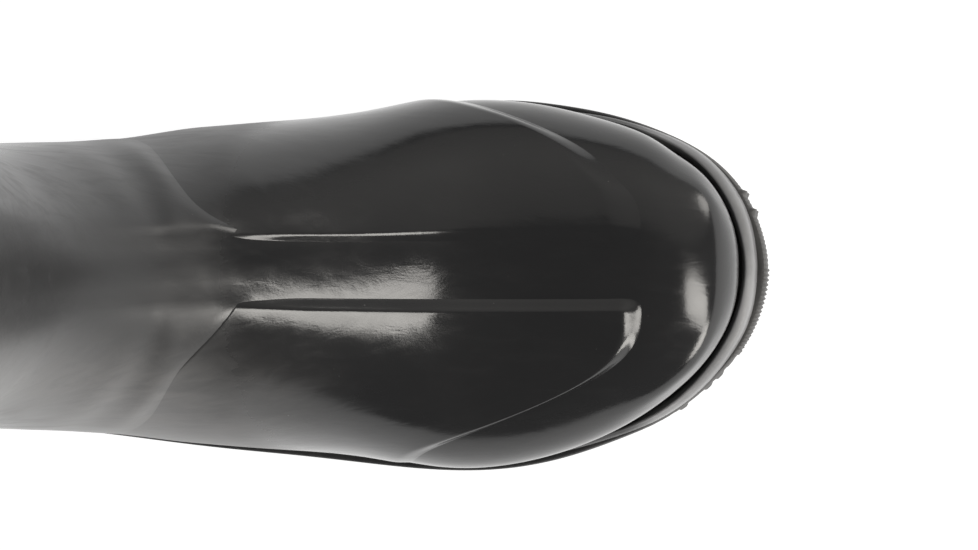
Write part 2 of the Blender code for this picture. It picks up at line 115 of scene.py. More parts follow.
SECTIONS = table((
    "ridge_along", "ridge_height", "ridge_side", "base_along", "base_height",
    "widest_lateral", "widest_medial", "forward", "rise", "crown",
), (
    (0.2984, 0.0308, 0.0052, 0.2972, 0.0000, -0.0050, 0.0056, 0.42, 0.42, 0.95),
    (0.3002, 0.0395, 0.0052, 0.2943, 0.0000, 0.0074, 0.0181, 0.42, 0.42, 0.98),
    (0.2973, 0.0490, 0.0051, 0.2882, 0.0000, 0.0178, 0.0270, 0.41, 0.40, 1.00),
    (0.2917, 0.0568, 0.0050, 0.2796, 0.0000, 0.0291, 0.0365, 0.40, 0.38, 1.00),
    (0.2798, 0.0622, 0.0048, 0.2690, 0.0000, 0.0381, 0.0448, 0.38, 0.37, 1.00),
    (0.2625, 0.0662, 0.0046, 0.2550, 0.0000, 0.0462, 0.0502, 0.36, 0.36, 1.00),
    (0.2400, 0.0720, 0.0045, 0.2350, 0.0000, 0.0530, 0.0549, 0.36, 0.36, 0.98),
    (0.2170, 0.0812, 0.0045, 0.2090, 0.0000, 0.0553, 0.0554, 0.36, 0.36, 0.94),
    (0.1950, 0.0970, 0.0045, 0.1800, 0.0000, 0.0512, 0.0503, 0.36, 0.36, 0.90),
    (0.1755, 0.1140, 0.0046, 0.1490, 0.0000, 0.0487, 0.0472, 0.32, 0.35, 0.88),
    (0.1600, 0.1290, 0.0045, 0.1150, 0.0000, 0.0460, 0.0448, 0.26, 0.33, 0.90),
    (0.1480, 0.1440, 0.0040, 0.0800, 0.0000, 0.0442, 0.0432, 0.18, 0.29, 0.96),
    (0.1395, 0.1600, 0.0032, 0.0460, 0.0000, 0.0432, 0.0424, 0.10, 0.24, 1.06),
    (0.1335, 0.1775, 0.0024, 0.0190, 0.0000, 0.0430, 0.0424, 0.04, 0.19, 1.16),
    (0.1305, 0.1965, 0.0016, 0.0065, 0.0000, 0.0436, 0.0432, 0.00, 0.15, 1.24),
    (0.1300, 0.2185, 0.0010, 0.0032, 0.0720, 0.0452, 0.0450, 0.00, 0.12, 1.28),
    (0.1310, 0.2470, 0.0006, 0.0058, 0.1150, 0.0478, 0.0476, 0.00, 0.09, 1.30),
    (0.1325, 0.2800, 0.0003, 0.0085, 0.1650, 0.0508, 0.0506, 0.00, 0.06, 1.30),
    (0.1335, 0.3150, 0.0001, 0.0072, 0.2300, 0.0536, 0.0535, 0.00, 0.04, 1.30),
    (0.1340, 0.3490, 0.0000, 0.0040, 0.3050, 0.0556, 0.0556, 0.00, 0.02, 1.30),
    (0.1340, SHAFT_HEIGHT, 0.0000, 0.0020, SHAFT_HEIGHT, 0.0568, 0.0568, 0.00, 0.00, 1.30),
))
FOOT_SECTIONS = 15
HEEL_SECTION = FOOT_SECTIONS - 1
COLLAR_SECTION = len(SECTIONS["crown"]) - 1
HEEL_END = FEATHER["along"][0]
TOE_END = FEATHER["along"][-1]
PANELS = table(("down", "front_lateral", "rear_lateral", "front_medial", "rear_medial"), (
    (0.00, 0.2728, 0.1693, 0.2724, 0.1693),
    (0.08, 0.2726, 0.1634, 0.2716, 0.1591),
    (0.16, 0.2700, 0.1562, 0.2692, 0.1527),
    (0.24, 0.2605, 0.1490, 0.2628, 0.1470),
    (0.35, 0.2330, 0.1402, 0.2525, 0.1392),
    (0.50, 0.2102, 0.1290, 0.2300, 0.1286),
    (0.75, 0.1990, 0.1120, 0.2085, 0.1120),
    (1.00, 0.1900, 0.0970, 0.1970, 0.0970),
))
PANEL_LOWEST = 0.05
LEAST_SWELL = 0.0004
HEEL_GROOVES = (0.022, 0.042, 0.062)
FOREFOOT_GROOVES = (0.168, 0.184, 0.200, 0.216, 0.232, 0.248, 0.264, 0.280)
GROOVE_SWEEP = math.tan(math.radians(14.0))
# Small moulding nubs on the inner side of the toe edge: place along and how far they stand out
NUB_ROWS = (
    (0.2915, 0.0012),
    (0.2938, 0.0011),
)
NUB_WIDTH = 0.0003
RIB_LATERAL = 0.0006
RIB_MEDIAL = 0.0002
LUG_PITCH = 0.0047
LUG_REACH = 0.0009
LEAST_SOLE = 0.0050
# Folds across the front of the ankle: station, width in stations and share of the crease's height
CREASE_ROWS = (
    (10.6, 0.22, 1.0),
    (11.0, 0.25, -0.8),
    (11.5, 0.30, 0.6),
)
CREASE_RISE = 0.0007
SHIN_RISE = 0.0003
SHIN_ASIDE = 0.0105
COLLAR_RISE = 0.0009
COLLAR_WIDTH = 0.0030
LAP_RISE = 0.0012
LAP_FADE = 0.085
TOE_RISE = 0.0012
TOE_SLOPE = 28.0
TOE_SLOPE_WIDTH = 13.0
LINING_GAP = 0.0002
LINING_THICKNESS = 0.0006
# How far a panel's edges sink into the upper, and how far its underside does
PANEL_SINK = 0.0002
PANEL_ROOT = 0.0009
PANEL_BEHIND = 0.0030
# Widths of the slopes at the panels' edges, against the sizes that a user sets
MEDIAL_FRONT = 1.8
MEDIAL_EDGE = 1.6
LATERAL_EDGE = 1.4
# Rows and columns of the meshes, and how often neighbouring rows of the upper are evened out
SECTION_STEPS = 80
TOE_ROWS = 26
FOOT_ROWS = 150
SHAFT_ROWS = 70
UPPER_COLUMNS = 57
LINING_COLUMNS = 33
LINING_FIRST_ROW = 8
PANEL_MESH = (120, 140)
TREAD_COLUMNS = 51
INSOLE_COLUMNS = 33
TOE_PASSES = 16
HEEL_PASSES = 90


def length_prop(name, description, default, low, high):
    """Property of a length in metres, between two limits."""
    return bpy.props.FloatProperty(
        name=name, description=description, default=default, min=low, max=high,
        subtype="DISTANCE", unit="LENGTH")


def colour_prop(name, description, default):
    """Property of a linear colour."""
    return bpy.props.FloatVectorProperty(
        name=name, description=description, default=default, min=0, max=1, subtype="COLOR", size=3)


class BootSizes(bpy.types.PropertyGroup):
    wall: length_prop("Wall", "Thickness of the upper's rubber", 0.0024, 0.001, 0.004)
    channel: length_prop("Channel", "Width of the bare channel along the instep", 0.0200, 0.01, 0.03)
    panel_rise: length_prop(
        "Panel rise", "How far the vamp panels stand out of the upper", 0.0023, 0.0005, 0.003)
    panel_edge: length_prop(
        "Panel edge", "Width of the slope from the channel up to a panel", 0.0035, 0.001, 0.012)
    panel_front: length_prop(
        "Panel front", "Width of the soft slope at the outer panel's front edge", 0.0075, 0.001, 0.012)
    panel_rear: length_prop(
        "Panel rear", "Length over which a panel thins out towards its rear edge", 0.0300, 0.004, 0.050)
    foxing_height: length_prop("Foxing height", "Height of the band round the joint", 0.0080, 0.004, 0.012)
    lip_depth: length_prop("Lip depth", "Height of the lip along the sole's upper edge", 0.0046, 0.002, 0.006)
    groove_depth: length_prop("Groove depth", "Depth of the tread's grooves", 0.0035, 0.001, 0.005)
    groove_width: length_prop("Groove width", "Width of the tread's grooves", 0.0050, 0.002, 0.008)
    rib_pitch: length_prop(
        "Rib pitch", "Distance between the fine ribs round the toe edge", 0.0012, 0.0008, 0.003)
    insole: length_prop("Insole", "Thickness of the insole", 0.0030, 0.001, 0.006)


class BootFinish(bpy.types.PropertyGroup):
    rubber: colour_prop("Rubber", "Colour of the upper and its panels", (0.016, 0.016, 0.0165))
    # The dust colour also paints the pale sheen low on the outer side, a painted reflection
    dust: colour_prop("Dust", "Colour of the dust on the rubber", (0.16, 0.155, 0.15))
    # The grey of the band round the toe is part rubbed wear and part painted light where the lamps fall on
    # the toe
    foxing: colour_prop("Foxing", "Colour of the band where it is rubbed grey", (0.28, 0.28, 0.285))
    sole: colour_prop("Sole", "Colour of the outsole", (0.020, 0.020, 0.0205))
    lining: colour_prop("Lining", "Colour of the knitted lining", (0.23, 0.22, 0.20))
    felt: colour_prop("Felt", "Colour of the insole", (0.11, 0.105, 0.10))
    gloss: bpy.props.FloatProperty(
        name="Roughness", description="Roughness of clean rubber", default=0.13, min=0, max=1,
        subtype="FACTOR")


class BootStage(bpy.types.PropertyGroup):
    floor: colour_prop("Floor", "Colour of the floor", (0.45, 0.45, 0.45))
    glow: bpy.props.FloatProperty(
        name="Floor glow", description="Light that the floor gives off round the boot, as a light table does",
        default=0.92, min=0, max=3)
    light: bpy.props.FloatProperty(
        name="Light", description="Strength of all lamps", default=1.0, min=0, max=10, subtype="FACTOR")
    tilt: bpy.props.FloatProperty(
        name="Camera tilt", description="Lean of the camera from straight above towards the toe",
        default=math.radians(13.0), subtype="ANGLE", unit="ROTATION")


def smooth(knots, values, at):
    """Natural cubic spline: second slopes from one linear system, then the cubic of each span."""
    at = np.asarray(at, float)
    step = np.diff(knots)
    slope = np.diff(values) / step
    count = len(knots)
    system = np.eye(count)
    pull = np.zeros(count)
    inner = np.arange(1, count - 1)
    system[inner, inner - 1] = step[:-1]
    system[inner, inner] = 2 * (step[:-1] + step[1:])
    system[inner, inner + 1] = step[1:]
    pull[inner] = 6 * np.diff(slope)
    bend = np.linalg.solve(system, pull)
    i = np.clip(np.searchsorted(knots, at) - 1, 0, count - 2)
    left = at - knots[i]
    right = knots[i + 1] - at
    curved = (bend[i] * right**3 + bend[i + 1] * left**3) / (6 * step[i])
    from_left = (values[i] / step[i] - bend[i] * step[i] / 6) * right
    from_right = (values[i + 1] / step[i] - bend[i + 1] * step[i] / 6) * left
    return curved + from_left + from_right


def ease(value):
    """Smooth step: 0 below 0, 1 above 1, three squares less two cubes between."""
    value = np.clip(value, 0, 1)
    return value * value * (3 - 2 * value)


def bump_at(value, middle, width):
    """Bell curve: e to the minus square of the distance from the middle over the width."""
    return np.exp(-(((value - middle) / width) ** 2))


def turn_at(along):
    """Outline angle, from 0 at the heel to pi at the toe: arc cosine of the share along."""
    share = (np.asarray(along, float) - HEEL_END) / (TOE_END - HEEL_END)
    return np.arccos(np.clip(1 - 2 * share, -1, 1))


def feather_line(side, turn):
    """Feather line at an outline angle: place along from its cosine, place across from the table's spline."""
    column = FEATHER["medial"] if side > 0 else FEATHER["lateral"]
    along = HEEL_END + (TOE_END - HEEL_END) * (1 - np.cos(turn)) / 2
    return np.stack([along, smooth(turn_at(FEATHER["along"]), column, turn)], -1)


def outline(side, turn, offset):
    """Feather line moved outwards, square to its own direction, by an offset that may change along it."""
    turn = np.asarray(turn, float)
    line = feather_line(side, turn)
    step = 1e-4
    ahead = feather_line(side, np.minimum(turn + step, math.pi))
    behind = feather_line(side, np.maximum(turn - step, 0))
    run = (ahead - behind)[..., 0]
    rise = (ahead - behind)[..., 1]
    outwards = side * np.stack([-rise, run], -1)
    outwards /= np.linalg.norm(outwards, axis=-1, keepdims=True)
    reach = offset(line[..., 0]) if callable(offset) else offset
    return line + np.asarray(reach, float)[..., None] * outwards


def seat_height(along):
    """Spline through the seat table."""
    return smooth(SEAT["along"], SEAT["height"], along)


def floor_height(along):
    """Straight lines through the floor table."""
    return np.interp(along, FLOOR["along"], FLOOR["height"])


def rand_turn(station):
    """Outline angle of the rand line at a foot station."""
    turns = turn_at(SECTIONS["base_along"][:FOOT_SECTIONS])
    turns[0] = math.pi
    turns[-1] = 0.0
    return np.clip(smooth(np.arange(FOOT_SECTIONS), turns, station), 0, math.pi)


def rand_top(along):
    """Height of the rand line over the seat."""
    return seat_height(along) + JOINT_GAP + RAND_HEIGHT


def cubic(share, first, second, third, last):
    """Cubic curve between two ends with two handles."""
    rest = 1 - share
    return rest**3 * first + 3 * rest**2 * share * second + 3 * rest * share**2 * third + share**3 * last


def side_handle(start, third, last, widest):
    """Handle that makes a half section swell to its widest, found by halving."""
    shares = np.linspace(0, 1, 33)
    low = np.full_like(start, -LENGTH)
    high = np.full_like(start, LENGTH)
    for _ in range(40):
        middle = (low + high) / 2
        curve = cubic(shares, start[..., None], middle[..., None], third[..., None], last[..., None])
        over = curve.max(-1) > widest
        high = np.where(over, middle, high)
        low = np.where(over, low, middle)
    return (low + high) / 2


def section_table(side):
    """Ends and handles of the half sections at closely spaced stations, one array for each of them."""
    station = np.linspace(0, COLLAR_SECTION, SECTION_STEPS * COLLAR_SECTION + 1)
    knots = np.arange(COLLAR_SECTION + 1)
    column = {name: smooth(knots, values, station) for name, values in SECTIONS.items()}
    plan = outline(side, rand_turn(np.minimum(station, HEEL_SECTION)), RAND_FLARE)
    heel = outline(1, 0.0, RAND_FLARE)[0]
    up = np.maximum(station, HEEL_SECTION)
    back_knots = knots[HEEL_SECTION:]
    back_along = np.concatenate([[heel], SECTIONS["base_along"][FOOT_SECTIONS:]])
    back_height = np.concatenate([[rand_top(heel)], SECTIONS["base_height"][FOOT_SECTIONS:]])
    foot = station <= HEEL_SECTION
    base_along = np.where(foot, plan[:, 0], smooth(back_knots, back_along, up))
    start = np.where(foot, plan[:, 1] * side, 0)
    base_height = np.where(foot, rand_top(plan[:, 0]), smooth(back_knots, back_height, up))
    ridge = column["ridge_side"] * side
    swell = start + LEAST_SWELL * np.minimum(station, 1)
    widest = np.maximum(column["widest_medial" if side > 0 else "widest_lateral"], swell)
    third = ridge + column["crown"] * (widest - ridge)
    return {
        "station": station,
        "base_along": base_along,
        "start": start,
        "base_height": base_height,
        "along_two": base_along + np.maximum(column["forward"], 0) * (column["ridge_along"] - base_along),
        "handle": side_handle(start, third, ridge, widest),
        "height_two": base_height + np.maximum(column["rise"], 0) * (column["ridge_height"] - base_height),
        "third": third,
        "ridge_along": column["ridge_along"],
        "ridge_side": ridge,
        "ridge_height": column["ridge_height"],
    }


HALF_SECTIONS = {side: section_table(side) for side in (-1, 1)}


def upper_surface(side, station, share):
    """Outer face of the upper: at each station a cubic from the rand line, share 0, to the ridge, share 1."""
    station, share = np.broadcast_arrays(np.asarray(station, float), np.asarray(share, float))
    half = HALF_SECTIONS[side]
    at = {name: np.interp(station, half["station"], values) for name, values in half.items()}
    along = cubic(share, at["base_along"], at["along_two"], at["ridge_along"], at["ridge_along"])
    across = side * cubic(share, at["start"], at["handle"], at["third"], at["ridge_side"])
    height = cubic(share, at["base_height"], at["height_two"], at["ridge_height"], at["ridge_height"])
    return np.stack([along, across, height], -1)


def upper_normal(side, station, share):
    """Outward direction of the upper: cross product of small steps along both parameters."""
    step = 4e-3
    station_low = np.maximum(station - step, step)
    station_high = np.minimum(station_low + 2 * step, COLLAR_SECTION)
    share_low = np.maximum(share - step, 0)
    share_high = np.minimum(share + step, 1)
    along = upper_surface(side, station_high, share) - upper_surface(side, station_low, share)
    middle = (station_low + station_high) / 2
    around = upper_surface(side, middle, share_high) - upper_surface(side, middle, share_low)
    normal = side * np.cross(along, around)
    return normal / np.maximum(np.linalg.norm(normal, axis=-1, keepdims=True), 1e-12)


def ring(turns, offset, base, lift):
    """Closed loop round the sole, heel to toe on the lateral side and back on the medial side.

    Its height is the base height at each place along, plus a lift.
    """
    plan = np.concatenate([outline(-1, turns[::-1], offset), outline(1, turns[1:-1], offset)])
    return np.column_stack([plan, base(plan[:, 0]) + lift])


def grid_faces(rows, columns, wrap=False):
    """Quads of a grid of points, stored row after row."""
    index = np.arange(rows * columns).reshape(rows, columns)
    if wrap:
        index = np.column_stack([index, index[:, 0]])
    corners = index[:-1, :-1], index[:-1, 1:], index[1:, 1:], index[1:, :-1]
    return np.stack(corners, -1).reshape(-1, 4)


def new_piece(name, points, faces, material, outwards=True):
    """Mesh object from arrays of points and quads, with doubles merged and closed forms turned outwards."""
    mesh = bpy.data.meshes.new(name)
    points = np.asarray(points, float) - np.array([LENGTH / 2, 0, 0])
    mesh.from_pydata(points, [], faces.tolist())
    shape = bmesh.new()
    shape.from_mesh(mesh)
    bmesh.ops.remove_doubles(shape, verts=shape.verts, dist=2e-6)
    if outwards:
        bmesh.ops.recalc_face_normals(shape, faces=shape.faces)
    shape.to_mesh(mesh)
    shape.free()
    mesh.shade_smooth()
    mesh.materials.append(material)
    piece = bpy.data.objects.new(name, mesh)
    bpy.context.scene.collection.objects.link(piece)
    return piece


def dress(piece, node):
    """Lets a piece stand for a solid of the frame and ride with the boot."""
    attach(piece, "root")
    if node:
        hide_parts(node)


class Shade:
    """A shader socket in a Python sum: each operator adds one Math node to the material's tree."""

    def __init__(self, tree, socket=None):
        self.tree = tree
        self.socket = socket

    def node(self, kind, settings=None, inputs=None, output=0):
        """New node of a type, its settings set first, then the values or links of its sockets."""
        made = self.tree.nodes.new(kind)
        for name, value in (settings or {}).items():
            setattr(made, name, value)
        for key, value in (inputs or {}).items():
            if isinstance(value, Shade):
                self.tree.links.new(value.socket, made.inputs[key])
            else:
                made.inputs[key].default_value = value
        return Shade(self.tree, made.outputs[output])

    def sum(self, operation, *values):
        """One Math node on this and other values."""
        return self.node("ShaderNodeMath", {"operation": operation}, dict(enumerate(values)))

    def __add__(self, other):
        return self.sum("ADD", self, other)

    def __mul__(self, other):
        return self.sum("MULTIPLY", self, other)

    def __sub__(self, other):
        return self.sum("SUBTRACT", self, other)

    def __rsub__(self, other):
        return self.sum("SUBTRACT", other, self)

    def between(self, low, high):
        """Share of the way from low to high, held between 0 and 1 and eased at both ends."""
        return self.node("ShaderNodeMapRange", {"interpolation_type": "SMOOTHSTEP"},
                         {"Value": self, "From Min": low, "From Max": high})

    def blend(self, first, second):
        """Mix of two colours by this share."""
        return self.node("ShaderNodeMix", {"data_type": "RGBA"}, {0: self, 6: first, 7: second}, 2)


def noise(place, scale, detail=3.0, rough=0.5, twist=0.0):
    """Cloudy values from 0 to 1 over a place."""
    return place.node("ShaderNodeTexNoise", {}, {
        "Vector": place, "Scale": scale, "Detail": detail, "Roughness": rough, "Distortion": twist})


def new_material(name):
    """Material with its shader node and the place on the piece, in metres."""
    material = bpy.data.materials.new(name)
    material.use_nodes = True
    tree = material.node_tree
    shader = tree.nodes["Principled BSDF"]
    place = Shade(tree).node("ShaderNodeTexCoord", output="Object")
    return material, shader, place


def feed(shader, place, **values):
    """Sets the shader's sockets: links for what varies, plain values for the rest."""
    for name, value in values.items():
        socket = shader.inputs[name.replace("_", " ")]
        if isinstance(value, Shade):
            place.tree.links.new(value.socket, socket)
        else:
            socket.default_value = value


def relief(place, height, strength, distance):
    """Bump from a height value."""
    return place.node("ShaderNodeBump", {}, {"Height": height, "Strength": strength, "Distance": distance},
                      "Normal")


def opaque(colour):
    return (*colour, 1.0)


def axis(place, name):
    """One coordinate of the place, in metres."""
    return place.node("ShaderNodeSeparateXYZ", {}, {"Vector": place}, name)


def at_toe(place):
    """Share from 0 behind the toe to 1 round its edge, along the boot."""
    return axis(place, "X").between(0.108, 0.122)


def boot_rubber(finish):
    """Semi-gloss black rubber: cloudy smudges in its gloss, wiped streaks, fine dust specks and soft dents.

    A pale painted sheen, standing in for the floor's reflection, lies low on the outer side in front of the
    heel, and the bend of the ankle is duller.
    """
    material, shader, place = new_material("boot_rubber")
    along_boot = place.node("ShaderNodeMapping", {}, {"Vector": place, "Scale": (0.35, 1.6, 1.0)})
    clouds = noise(place, 26.0, 4.0, 0.55)
    wiped = noise(along_boot, 130.0, 5.0, 0.6, 0.6)
    grain = noise(place, 1500.0, 2.0, 0.5)
    dents = noise(place, 60.0, 2.0, 0.45)
    specks = place.node("ShaderNodeTexVoronoi", {"feature": "F1"}, {"Vector": place, "Scale": 190.0})
    sparse = noise(place, 75.0, 1.0).between(0.52, 0.66)
    dots = (1 - specks.between(0.02, 0.07)) * sparse
    haze = clouds.between(0.45, 0.80) * 0.020 + wiped.between(0.5, 0.85) * 0.015
    along, across = axis(place, "X"), axis(place, "Y")
    # painted reflection: a pale sheen of the dust colour low on the outer side in front of the heel, standing
    # in for the floor's reflection there
    painted_sheen = (1 - along.between(-0.025, 0.045)) * along.between(-0.090, -0.040)
    painted_sheen = painted_sheen * (1 - across.between(-0.036, -0.008))
    painted_sheen = painted_sheen * (wiped.between(0.30, 0.70) * 0.4 + 0.6)
    # colour mix of real dust haze, dust specks and the painted sheen
    dust_and_sheen = haze + dots * 0.25 + painted_sheen * 0.85
    colour = dust_and_sheen.blend(opaque(finish.rubber), opaque(finish.dust))
    gloss = clouds.between(0.35, 0.75) * 0.03 + wiped.between(0.40, 0.75) * 0.07 + dots * 0.2 + finish.gloss
    ankle = along.between(-0.080, -0.030) * (1 - along.between(0.002, 0.018))
    gloss = gloss + painted_sheen * 0.20 + ankle * (1 - painted_sheen) * 0.24
    height = grain * 0.06 + wiped * 0.30 + dents * 0.9
    feed(shader, place, Base_Color=colour, Roughness=gloss, Normal=relief(place, height, 0.35, 0.0006))
    feed(shader, place, Specular_IOR_Level=0.5, IOR=1.52)
    return material


def shared_rubber(finish):
    """The one rubber of upper and panels, made on its first use."""
    return bpy.data.materials.get("boot_rubber") or boot_rubber(finish)


def foxing_rubber(finish):
    """Smooth satin band: black along the sides, grey round the toe, part rubbed wear and part painted light
    where the lamps fall on the toe, with faint moulding grain.
    """
    material, shader, place = new_material("foxing_rubber")
    clouds = noise(place, 55.0, 4.0, 0.6)
    grain = noise(place, 1100.0, 3.0, 0.55)
    rubbed = clouds.between(0.40, 0.75)
    # painted light: the band is greyer round the toe partly because the lamps fall on it there, partly rubbed
    # wear, in cloudy patches
    colour = (at_toe(place) * (rubbed * 0.35 + 0.75)).blend(opaque(finish.rubber), opaque(finish.foxing))
    gloss = rubbed * 0.12 + grain * 0.08 + 0.36
    feed(shader, place, Base_Color=colour, Roughness=gloss, Normal=relief(place, grain, 0.15, 0.0003))
    return material


def sole_rubber(finish):
    """Matt sole rubber: dusty in patches and more so round the toe, with a coarse moulded grain."""
    material, shader, place = new_material("sole_rubber")
    clouds = noise(place, 45.0, 5.0, 0.6)
    grain = noise(place, 900.0, 3.0, 0.6)
    dusty = clouds.between(0.45, 0.72) * 0.15 + grain.between(0.55, 0.75) * 0.08 + at_toe(place) * 0.35
    colour = dusty.blend(opaque(finish.sole), opaque(finish.dust))
    gloss = dusty * 0.3 + 0.48
    feed(shader, place, Base_Color=colour, Roughness=gloss, Normal=relief(place, grain, 0.3, 0.0004))
    return material


def knit_lining(finish):
    """Knitted cotton: small crossed loops across the surface, with fuzz and slight unevenness of colour."""
    material, shader, place = new_material("knit_lining")
    rows = place.node("ShaderNodeTexWave", {"wave_type": "BANDS", "bands_direction": "Z"},
                      {"Vector": place, "Scale": 220.0, "Distortion": 1.5, "Detail": 1.0})
    columns = place.node("ShaderNodeTexWave", {"wave_type": "BANDS", "bands_direction": "DIAGONAL"},
                         {"Vector": place, "Scale": 190.0, "Distortion": 1.5, "Detail": 1.0})
    fuzz = noise(place, 1300.0, 3.0, 0.6)
    clouds = noise(place, 30.0, 3.0, 0.5)
    loops = rows * 0.5 + columns * 0.3 + fuzz * 0.3
    dark = opaque([c * 0.55 for c in finish.lining])
    colour = (loops * 0.7 + clouds * 0.3).blend(dark, opaque(finish.lining))
    feed(shader, place, Base_Color=colour, Roughness=0.92, Normal=relief(place, loops, 0.6, 0.0004))
    return material


def insole_felt(finish):
    """Pressed felt: fine fibres of two greys in uneven patches."""
    material, shader, place = new_material("insole_felt")
    fibre = noise(place, 900.0, 5.0, 0.7, 1.2)
    clouds = noise(place, 40.0, 3.0, 0.5)
    dark = opaque([c * 0.5 for c in finish.felt])
    colour = (fibre * 0.7 + clouds * 0.3).between(0.25, 0.75).blend(dark, opaque(finish.felt))
    feed(shader, place, Base_Color=colour, Roughness=0.95, Normal=relief(place, fibre, 0.5, 0.0005))
    return material


def ridge_side(station):
    """Place across of the ridge at a station."""
    return np.interp(station, HALF_SECTIONS[1]["station"], HALF_SECTIONS[1]["ridge_side"])


def upper_detail(side, station, share, point, normal, channel):
    """Relief of the upper in metres: soft shin ridges in line with the channel, ankle creases, collar roll.

    The ridges are bells across the ridge's distance, the creases bells along the station that fade towards
    the sides, and the roll is a rounded swelling of the last few millimetres under the collar. Behind a vamp
    panel's rear edge the shaft rises over it by an eased step, which sinks back slowly up the shaft. A bell
    over the wall's slope fills out the toe cap's shoulder.
    """
    line_share, line_along = rear_line(side, channel)
    behind = np.interp(share, line_share, line_along) - point[..., 0]
    beyond = 1 - ease((share - line_share[-1] + 0.035) / 0.06)
    lap = ease((behind + 0.002) / 0.008) * (1 - ease((behind - 0.006) / LAP_FADE)) * beyond
    lap = lap * ease((share - 0.30) / 0.35) * LAP_RISE
    slope = np.degrees(np.arcsin(np.clip(normal[..., 2], -1, 1)))
    swell = bump_at(slope, TOE_SLOPE, TOE_SLOPE_WIDTH) * ease((point[..., 0] - 0.262) / 0.020) * TOE_RISE
    swell = swell * (1 - ease((point[..., 1] - 0.024) / 0.012))
    beside = np.abs(point[..., 1] - ridge_side(station))
    shin = bump_at(beside, SHIN_ASIDE, 0.0022) * ease((share - 0.55) / 0.2)
    shin = shin * ease((station - 8.6) / 0.8) * (1 - ease((station - 11.5) / 3.0)) * SHIN_RISE
    wave = sum(height * bump_at(station, middle, width) for middle, width, height in CREASE_ROWS)
    crease = wave * bump_at(share, 0.62, 0.22) * CREASE_RISE
    roll = bump_at(SHAFT_HEIGHT - point[..., 2], COLLAR_WIDTH, COLLAR_WIDTH) * COLLAR_RISE
    return shin + crease + roll + lap + swell


def upper_grid(stations, shares, channel):
    """Grid of the upper's outer face and of its outward directions: lateral half, then the medial half back.

    Round the toe and over the heel each row is evened out with its neighbours, which leaves no kink between
    the sections.
    """
    halves = []
    directions = []
    for side, line in ((-1, shares), (1, shares[::-1][1:])):
        station = stations[:, None]
        share = line[None, :]
        point = upper_surface(side, station, share)
        normal = upper_normal(side, np.broadcast_to(station, point.shape[:2]), share)
        lift = upper_detail(side, station, share, point, normal, channel)
        halves.append(point + lift[..., None] * normal)
        directions.append(normal)
    grid = np.concatenate(halves, 1)
    across = np.concatenate([shares, shares[::-1][1:]])[None, :]
    toe = ease((stations - 0.3) / 0.5) * (1 - ease((stations - 4.5) / 1.5))
    from_heel = stations - HEEL_SECTION
    heel = ease((from_heel + 3.0) / 1.5) * (1 - ease((from_heel - 1.2) / 1.2))
    back = ease(across / 0.10) * (1 - ease((across - 0.55) / 0.25))
    for passes, weight in ((TOE_PASSES, toe[:, None]), (HEEL_PASSES, heel[:, None] * back)):
        even = grid.copy()
        for _ in range(passes):
            even[1:-1] = (even[:-2] + 2 * even[1:-1] + even[2:]) / 4
        grid = grid + weight[..., None] * (even - grid)
    return grid, np.concatenate(directions, 1)


def foot_stations():
    """Stations round the foot, closer at the toe tip, where the share of the row count is raised to 1.4."""
    toe = 2 * np.linspace(0, 1, TOE_ROWS) ** 1.4
    return np.concatenate([toe, np.linspace(2, HEEL_SECTION, FOOT_ROWS)[1:]])


def rand_loops(sections, turns, offset):
    """Loops of the rand from the sections' own lower edge down to the seat, leaning in by the flare."""
    rows = len(turns)
    edge = np.concatenate([sections[rows - 1::-1, 0], sections[1:rows - 1, -1]])
    levels = np.linspace(1, 0, 4)[1:]
    return [edge] + [
        ring(turns, level * RAND_FLARE + offset, seat_height, JOINT_GAP + level * RAND_HEIGHT)
        for level in levels
    ]


class BOOT_OT_upper(bpy.types.Operator):
    """Upper of one rubber wall: swept half sections, the rand below them, and both again a wall further in"""

    bl_idname = "boot.upper"
    bl_label = "Upper"

    def execute(self, context):
        wall = context.scene.boot_sizes.wall
        foot = foot_stations()
        shaft = np.linspace(HEEL_SECTION, COLLAR_SECTION - 0.02, SHAFT_ROWS)
        stations = np.concatenate([foot, shaft[1:]])
        shares = np.linspace(0, 1, UPPER_COLUMNS)
        outer, normals = upper_grid(stations, shares, context.scene.boot_sizes.channel)
        outer[0] = outer[0, 0]
        inner = outer - wall * normals
        inner[0] = outer[0, 0] - np.array([wall, 0, 0])
        seam = (inner[len(foot) - 1:, 0] + inner[len(foot) - 1:, -1]) / 2
        inner[len(foot) - 1:, 0] = seam
        inner[len(foot) - 1:, -1] = seam
        half_turn = np.linspace(0, math.pi, 7)[1:-1, None, None]
        middle = (outer[-1] + inner[-1]) / 2
        over = np.array([0, 0, wall / 2])
        rim = middle + np.cos(half_turn) * (outer[-1] - middle) + np.sin(half_turn) * over
        skin = np.concatenate([outer, rim, inner[::-1]])
        turns = rand_turn(foot)
        band = [*rand_loops(outer, turns, 0.0), *rand_loops(inner, turns, -wall)[::-1]]
        band_faces = grid_faces(len(band), len(band[0]), wrap=True) + skin.size // 3
        faces = np.concatenate([grid_faces(*skin.shape[:2]), band_faces])
        points = np.concatenate([skin.reshape(-1, 3), *band])
        material = shared_rubber(context.scene.boot_finish)
        upper = new_piece("boot_upper", points, faces, material)
        dress(upper, "upper")
        return {"FINISHED"}


